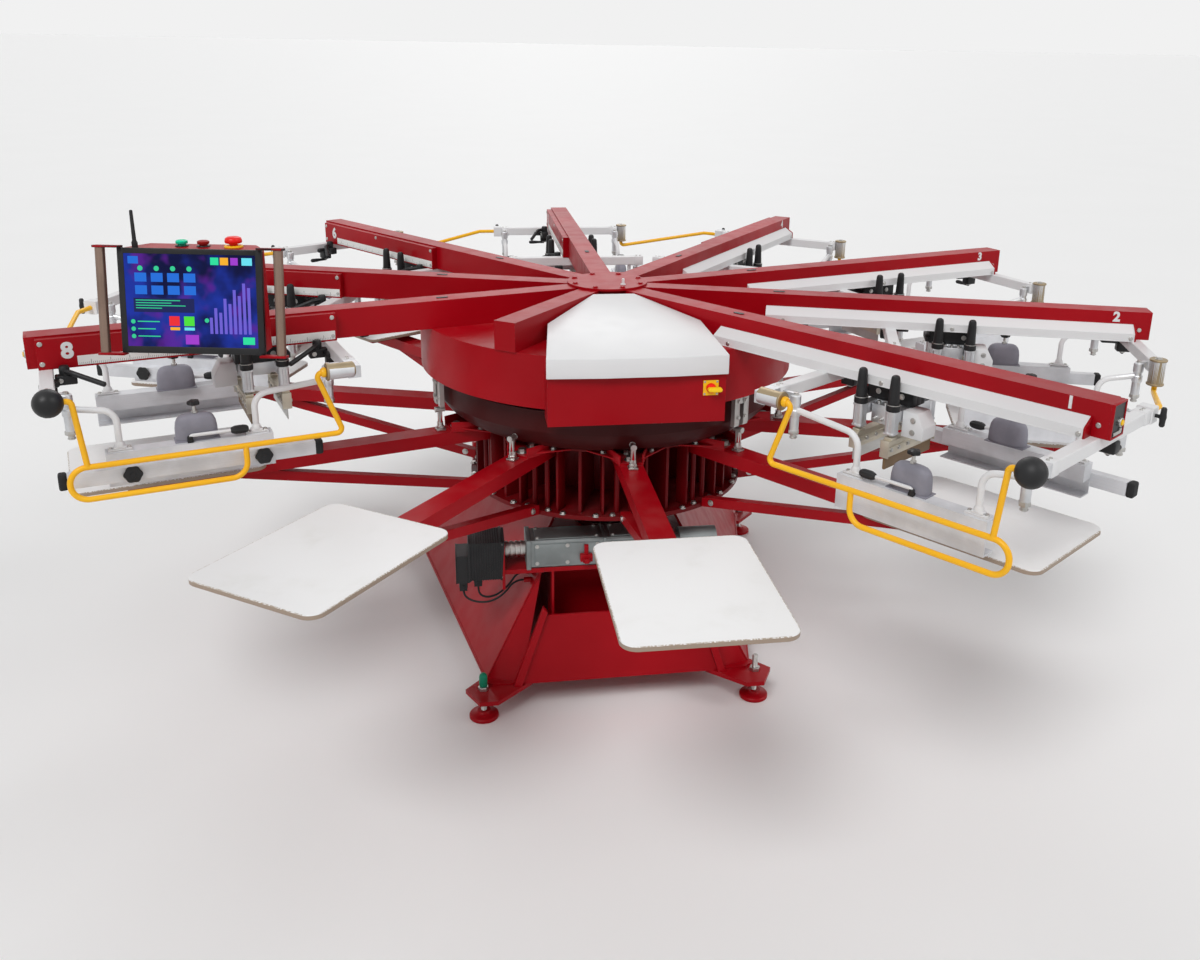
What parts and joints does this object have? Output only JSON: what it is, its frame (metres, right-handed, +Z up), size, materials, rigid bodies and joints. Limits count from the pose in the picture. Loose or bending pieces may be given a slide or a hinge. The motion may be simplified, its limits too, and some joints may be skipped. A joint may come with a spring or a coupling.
{
  "type": "screen printing press",
  "caption": "Automatic rotary screen printing press: a lifting carousel of pallets under radial print heads, with index drive, hood, guards and swing panel.",
  "frame": {"origin": "point on the floor under the carousel's axis", "axes": "+Z up along the carousel's axis; -Y towards the front open station with the hood; +X to the operator's right"},
  "size_m": [3.651, 3.5675, 1.761],
  "materials": {
    "red_paint": "gloss",
    "dark_paint": "satin",
    "bare_steel": "satin",
    "grey_casting": "satin",
    "white_paint": "gloss",
    "light_aluminium": "satin",
    "black_plastic": "matte",
    "gold_metal": "satin",
    "yellow_paint": "gloss",
    "black_rubber": "matte",
    "panel_plastic": "satin",
    "yellow_plastic": "gloss",
    "green_plastic": "gloss",
    "red_plastic": "gloss"
  },
  "bodies": {
    "frame": {"base_frame": "red_paint", "rear_cabinet": "red_paint", "levelling_feet": "red_paint", "center_column": "bare_steel", "indexer_gearbox": "grey_casting", "drive_motor": "bare_steel", "power_cable": "black_rubber", "feedback_cable": "black_rubber", "head_drum": "red_paint", "head_beams": "red_paint", "drive_covers": "white_paint", "rail_covers": "red_paint", "control_box": "red_paint", "hood": "white_paint", "registration_forks": "bare_steel", "cross_arms": "white_paint", "rail_hangers": "white_paint", "screen_rails": "light_aluminium", "clamp_domes": "light_aluminium", "clamp_handles": "black_plastic", "guard_switches": "gold_metal", "perimeter_guards": "yellow_paint", "panel_post": "red_paint"},
    "lift": {"lift_collar": "bare_steel"},
    "carousel": {"carousel_cage": "red_paint", "carousel_bowl": "dark_paint", "pallet_arms": "red_paint", "pallets": "white_paint"},
    "carriage_1": {"carriage_1": "light_aluminium"},
    "squeegee_1": {"squeegee_1": "light_aluminium"},
    "flood_bar_1": {"flood_bar_1": "light_aluminium"},
    "carriage_2": {"carriage_2": "light_aluminium"},
    "squeegee_2": {"squeegee_2": "light_aluminium"},
    "flood_bar_2": {"flood_bar_2": "light_aluminium"},
    "carriage_3": {"carriage_3": "light_aluminium"},
    "squeegee_3": {"squeegee_3": "light_aluminium"},
    "flood_bar_3": {"flood_bar_3": "light_aluminium"},
    "carriage_4": {"carriage_4": "light_aluminium"},
    "squeegee_4": {"squeegee_4": "light_aluminium"},
    "flood_bar_4": {"flood_bar_4": "light_aluminium"},
    "carriage_5": {"carriage_5": "light_aluminium"},
    "squeegee_5": {"squeegee_5": "light_aluminium"},
    "flood_bar_5": {"flood_bar_5": "light_aluminium"},
    "carriage_6": {"carriage_6": "light_aluminium"},
    "squeegee_6": {"squeegee_6": "light_aluminium"},
    "flood_bar_6": {"flood_bar_6": "light_aluminium"},
    "carriage_7": {"carriage_7": "light_aluminium"},
    "squeegee_7": {"squeegee_7": "light_aluminium"},
    "flood_bar_7": {"flood_bar_7": "light_aluminium"},
    "carriage_8": {"carriage_8": "light_aluminium"},
    "squeegee_8": {"squeegee_8": "light_aluminium"},
    "flood_bar_8": {"flood_bar_8": "light_aluminium"},
    "side_guard_1": {"side_guard_1": "yellow_paint"},
    "side_guard_8": {"side_guard_8": "yellow_paint"},
    "main_switch": {"switch_knob": "yellow_plastic"},
    "swing_arm": {"panel_arm": "red_paint"},
    "panel": {"panel_housing": "panel_plastic"},
    "start": {"start_button": "green_plastic"},
    "stop": {"stop_button": "red_plastic"},
    "emergency": {"emergency_stop": "red_plastic"}
  },
  "joints": [
    {"name": "table_lift", "type": "slide", "parent": "frame", "child": "lift", "axis": [0, 0, 1], "range_m": [0, 0.028]},
    {"name": "carousel_index", "type": "hinge", "parent": "lift", "child": "carousel", "pos_m": [0, 0, 0.7], "axis": [0, 0, 1], "continuous": true},
    {"name": "carriage_stroke_1", "type": "slide", "parent": "frame", "child": "carriage_1", "axis": [0.5878, -0.809, 0], "range_m": [0, 0.4]},
    {"name": "squeegee_drop_1", "type": "slide", "parent": "carriage_1", "child": "squeegee_1", "axis": [0, 0, 1], "range_m": [-0.055, 0]},
    {"name": "flood_drop_1", "type": "slide", "parent": "carriage_1", "child": "flood_bar_1", "axis": [0, 0, 1], "range_m": [-0.055, 0]},
    {"name": "carriage_stroke_2", "type": "slide", "parent": "frame", "child": "carriage_2", "axis": [0.9511, -0.309, 0], "range_m": [0, 0.4]},
    {"name": "squeegee_drop_2", "type": "slide", "parent": "carriage_2", "child": "squeegee_2", "axis": [0, 0, 1], "range_m": [-0.055, 0]},
    {"name": "flood_drop_2", "type": "slide", "parent": "carriage_2", "child": "flood_bar_2", "axis": [0, 0, 1], "range_m": [-0.055, 0]},
    {"name": "carriage_stroke_3", "type": "slide", "parent": "frame", "child": "carriage_3", "axis": [0.9511, 0.309, 0], "range_m": [0, 0.4]},
    {"name": "squeegee_drop_3", "type": "slide", "parent": "carriage_3", "child": "squeegee_3", "axis": [0, 0, 1], "range_m": [-0.055, 0]},
    {"name": "flood_drop_3", "type": "slide", "parent": "carriage_3", "child": "flood_bar_3", "axis": [0, 0, 1], "range_m": [-0.055, 0]},
    {"name": "carriage_stroke_4", "type": "slide", "parent": "frame", "child": "carriage_4", "axis": [0.5878, 0.809, 0], "range_m": [0, 0.4]},
    {"name": "squeegee_drop_4", "type": "slide", "parent": "carriage_4", "child": "squeegee_4", "axis": [0, 0, 1], "range_m": [-0.055, 0]},
    {"name": "flood_drop_4", "type": "slide", "parent": "carriage_4", "child": "flood_bar_4", "axis": [0, 0, 1], "range_m": [-0.055, 0]},
    {"name": "carriage_stroke_5", "type": "slide", "parent": "frame", "child": "carriage_5", "axis": [0, 1, 0], "range_m": [0, 0.4]},
    {"name": "squeegee_drop_5", "type": "slide", "parent": "carriage_5", "child": "squeegee_5", "axis": [0, 0, 1], "range_m": [-0.055, 0]},
    {"name": "flood_drop_5", "type": "slide", "parent": "carriage_5", "child": "flood_bar_5", "axis": [0, 0, 1], "range_m": [-0.055, 0]},
    {"name": "carriage_stroke_6", "type": "slide", "parent": "frame", "child": "carriage_6", "axis": [-0.5878, 0.809, 0], "range_m": [0, 0.4]},
    {"name": "squeegee_drop_6", "type": "slide", "parent": "carriage_6", "child": "squeegee_6", "axis": [0, 0, 1], "range_m": [-0.055, 0]},
    {"name": "flood_drop_6", "type": "slide", "parent": "carriage_6", "child": "flood_bar_6", "axis": [0, 0, 1], "range_m": [-0.055, 0]},
    {"name": "carriage_stroke_7", "type": "slide", "parent": "frame", "child": "carriage_7", "axis": [-0.9511, 0.309, 0], "range_m": [0, 0.4]},
    {"name": "squeegee_drop_7", "type": "slide", "parent": "carriage_7", "child": "squeegee_7", "axis": [0, 0, 1], "range_m": [-0.055, 0]},
    {"name": "flood_drop_7", "type": "slide", "parent": "carriage_7", "child": "flood_bar_7", "axis": [0, 0, 1], "range_m": [-0.055, 0]},
    {"name": "carriage_stroke_8", "type": "slide", "parent": "frame", "child": "carriage_8", "axis": [-0.9511, -0.309, 0], "range_m": [0, 0.4]},
    {"name": "squeegee_drop_8", "type": "slide", "parent": "carriage_8", "child": "squeegee_8", "axis": [0, 0, 1], "range_m": [-0.055, 0]},
    {"name": "flood_drop_8", "type": "slide", "parent": "carriage_8", "child": "flood_bar_8", "axis": [0, 0, 1], "range_m": [-0.055, 0]},
    {"name": "guard_swing_1", "type": "hinge", "parent": "frame", "child": "side_guard_1", "pos_m": [0.53165, -1.34423, 1.305], "axis": [0.5878, -0.809, 0], "range_deg": [-20, 6]},
    {"name": "guard_swing_8", "type": "hinge", "parent": "frame", "child": "side_guard_8", "pos_m": [-1.22023, -0.775, 1.305], "axis": [-0.9511, -0.309, 0], "range_deg": [0, 20]},
    {"name": "main_switch_turn", "type": "hinge", "parent": "frame", "child": "main_switch", "pos_m": [0.223, -0.69, 1.228], "axis": [0, 1, 0], "range_deg": [0, 90]},
    {"name": "panel_swing", "type": "hinge", "parent": "frame", "child": "swing_arm", "pos_m": [-1.1717, -0.38071, 1.49], "axis": [0, 0, 1], "range_deg": [-5, 60]},
    {"name": "panel_tilt", "type": "hinge", "parent": "swing_arm", "child": "panel", "pos_m": [-1.2055, -0.55997, 1.52433], "axis": [0.9856, -0.169, 0], "range_deg": [-10, 10]},
    {"name": "start_press", "type": "slide", "parent": "panel", "child": "start", "axis": [0, 0, 1], "range_m": [-0.004, 0], "stiffness_N_per_m": 800, "springref_m": 0.004},
    {"name": "stop_press", "type": "slide", "parent": "panel", "child": "stop", "axis": [0, 0, 1], "range_m": [-0.004, 0], "stiffness_N_per_m": 800, "springref_m": 0.004},
    {"name": "emergency_press", "type": "slide", "parent": "panel", "child": "emergency", "axis": [0, 0, 1], "range_m": [-0.005, 0], "stiffness_N_per_m": 1500, "springref_m": 0.004}
  ]
}
